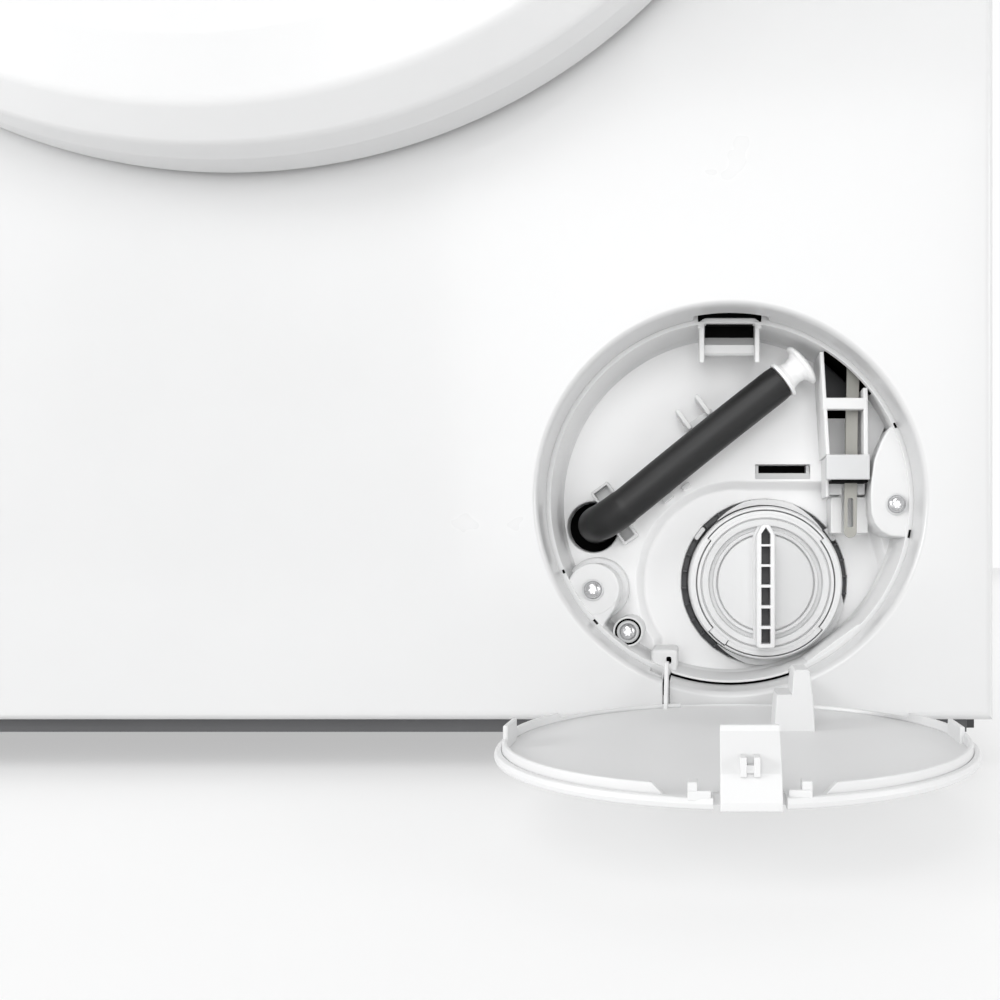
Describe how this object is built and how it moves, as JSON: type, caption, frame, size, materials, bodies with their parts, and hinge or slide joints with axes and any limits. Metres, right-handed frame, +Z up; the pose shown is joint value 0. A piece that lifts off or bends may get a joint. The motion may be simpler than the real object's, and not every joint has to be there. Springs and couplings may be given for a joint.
{
  "type": "washer dryer",
  "caption": "Front-loading washer-dryer with round door, detergent drawer and an open round service hatch over the drain pump filter.",
  "frame": {"origin": "on the floor, midway between the tip of the open service flap and the end of the water inlet, and midway between the sides", "axes": "+X to the machine's right as seen from the front, +Y towards the back (the front faces -Y), +Z up"},
  "size_m": [0.598, 0.7404, 0.848],
  "materials": {
    "white_steel": "smooth enamel",
    "white_plastic": "satin",
    "grey_plastic": "satin",
    "strap_grey": "satin",
    "dark_plastic": "matt",
    "black_rubber": "matt",
    "seal_rubber": "matt",
    "steel": "bright",
    "galvanised": "zinc plated",
    "glass": "clear",
    "smoked_glass": "dark tinted",
    "cast_iron": "rough"
  },
  "bodies": {
    "appliance": {"base_pan": "dark_plastic", "cabinet_shell": "white_steel", "control_fascia": "white_plastic", "counterweight_front": "cast_iron", "counterweight_top": "cast_iron", "dispenser_box": "grey_plastic", "display_window": "smoked_glass", "door_hinge": "galvanised", "door_lock": "dark_plastic", "door_seal": "seal_rubber", "drive_belt": "black_rubber", "drying_duct": "galvanised", "front_panel": "white_steel", "hatch_insert": "white_plastic", "hatch_screw_left": "steel", "hatch_screw_lower": "steel", "hatch_screw_right": "steel", "heater": "steel", "inlet_valve": "white_plastic", "mains_inlet": "dark_plastic", "motor": "galvanised", "outlet_hose": "grey_plastic", "pump_housing": "dark_plastic", "rear_panel": "galvanised", "sump_hose": "black_rubber", "tub_damper_left": "dark_plastic", "tub_damper_right": "dark_plastic", "tub_front": "grey_plastic", "tub_rear": "grey_plastic", "tub_spring_left": "steel", "tub_spring_right": "steel", "worktop": "white_plastic"},
    "service_flap": {"service_flap": "white_plastic"},
    "flap_latch": {"flap_latch": "white_plastic"},
    "filter_slide": {"filter_seal": "black_rubber"},
    "filter": {"filter_cap": "white_plastic", "filter_insert": "grey_plastic"},
    "drain_hose": {"drain_hose": "black_rubber"},
    "hose_stopper": {"hose_stopper": "white_plastic"},
    "release_strap": {"release_strap": "strap_grey"},
    "door": {"door_ring_outer": "white_plastic", "door_cover": "smoked_glass", "door_ring_inner": "grey_plastic", "door_glass": "glass", "door_handle": "white_plastic"},
    "door_hook": {"door_hook": "steel"},
    "detergent_drawer": {"detergent_drawer": "white_plastic"},
    "program_knob": {"program_knob": "white_plastic"},
    "power_button": {"power_button": "grey_plastic"},
    "start_button": {"start_button": "grey_plastic"},
    "drum": {"drum": "steel", "drum_spider": "galvanised", "drum_pulley": "galvanised"},
    "motor_pulley": {"motor_pulley": "steel"},
    "pump_impeller": {"pump_impeller": "grey_plastic"},
    "fan_impeller": {"fan_impeller": "grey_plastic"},
    "foot_front_left": {"foot_front_left": "dark_plastic"},
    "foot_front_right": {"foot_front_right": "dark_plastic"},
    "foot_rear_left": {"foot_rear_left": "dark_plastic"},
    "foot_rear_right": {"foot_rear_right": "dark_plastic"}
  },
  "joints": [
    {"name": "service_flap_hinge", "type": "hinge", "parent": "appliance", "child": "service_flap", "pos_m": [0.1952, -0.2163, 0.0301], "axis": [1, 0, 0], "range_deg": [-90, 0]},
    {"name": "flap_latch_flex", "type": "hinge", "parent": "service_flap", "child": "flap_latch", "pos_m": [0.1967, -0.3634, 0.0303], "axis": [-1, 0, 0], "range_deg": [0, 4], "stiffness_Nm_per_rad": 0.3},
    {"name": "filter_pull", "type": "slide", "parent": "appliance", "child": "filter_slide", "axis": [0, -1, 0], "range_m": [0, 0.064]},
    {"name": "filter_turn", "type": "hinge", "parent": "filter_slide", "child": "filter", "pos_m": [0.211, -0.18, 0.0752], "axis": [0, -1, 0], "range_deg": [0, 90]},
    {"name": "drain_hose_pull", "type": "slide", "parent": "appliance", "child": "drain_hose", "axis": [0, -1, 0], "range_m": [0, 0.045]},
    {"name": "hose_stopper_turn", "type": "hinge", "parent": "drain_hose", "child": "hose_stopper", "pos_m": [0.22225, -0.192, 0.16479], "axis": [0.7788, 0, 0.6273], "continuous": true},
    {"name": "release_strap_pull", "type": "slide", "parent": "appliance", "child": "release_strap", "axis": [0, 0, -1], "range_m": [0, 0.012], "stiffness_N_per_m": 200},
    {"name": "door_hinge", "type": "hinge", "parent": "appliance", "child": "door", "pos_m": [-0.232, -0.242, 0.471], "axis": [0, 0, -1], "range_deg": [0, 100]},
    {"name": "door_hook_hinge", "type": "hinge", "parent": "door", "child": "door_hook", "pos_m": [0.207, -0.228, 0.471], "axis": [0, 0, 1], "range_deg": [0, 8], "stiffness_Nm_per_rad": 0.5},
    {"name": "detergent_drawer_slide", "type": "slide", "parent": "appliance", "child": "detergent_drawer", "axis": [0, -1, 0], "range_m": [0, 0.2]},
    {"name": "program_knob_turn", "type": "hinge", "parent": "appliance", "child": "program_knob", "pos_m": [-0.01, -0.23, 0.776], "axis": [0, -1, 0], "continuous": true},
    {"name": "power_button_press", "type": "slide", "parent": "appliance", "child": "power_button", "axis": [0, 1, 0], "range_m": [0, 0.0016], "stiffness_N_per_m": 400},
    {"name": "start_button_press", "type": "slide", "parent": "appliance", "child": "start_button", "axis": [0, 1, 0], "range_m": [0, 0.0016], "stiffness_N_per_m": 400},
    {"name": "drum_spin", "type": "hinge", "parent": "appliance", "child": "drum", "pos_m": [0, 0.08, 0.471], "axis": [0, -1, 0], "continuous": true},
    {"name": "motor_spin", "type": "hinge", "parent": "appliance", "child": "motor_pulley", "pos_m": [-0.12, 0.28, 0.132], "axis": [0, -1, 0], "continuous": true},
    {"name": "pump_impeller_spin", "type": "hinge", "parent": "appliance", "child": "pump_impeller", "pos_m": [0.211, -0.086, 0.0752], "axis": [0, -1, 0], "continuous": true},
    {"name": "fan_impeller_spin", "type": "hinge", "parent": "appliance", "child": "fan_impeller", "pos_m": [0.128, 0.21, 0.776], "axis": [0, 0, 1], "continuous": true},
    {"name": "foot_front_left_turn", "type": "hinge", "parent": "appliance", "child": "foot_front_left", "pos_m": [-0.25, -0.16, 0.005], "axis": [0, 0, 1], "continuous": true},
    {"name": "foot_front_right_turn", "type": "hinge", "parent": "appliance", "child": "foot_front_right", "pos_m": [0.25, -0.16, 0.005], "axis": [0, 0, 1], "continuous": true},
    {"name": "foot_rear_left_turn", "type": "hinge", "parent": "appliance", "child": "foot_rear_left", "pos_m": [-0.25, 0.3, 0.005], "axis": [0, 0, 1], "continuous": true},
    {"name": "foot_rear_right_turn", "type": "hinge", "parent": "appliance", "child": "foot_rear_right", "pos_m": [0.25, 0.3, 0.005], "axis": [0, 0, 1], "continuous": true}
  ],
  "couplings": [
    {"joint": "motor_spin", "follows": "drum_spin", "ratio": 11.583}
  ]
}
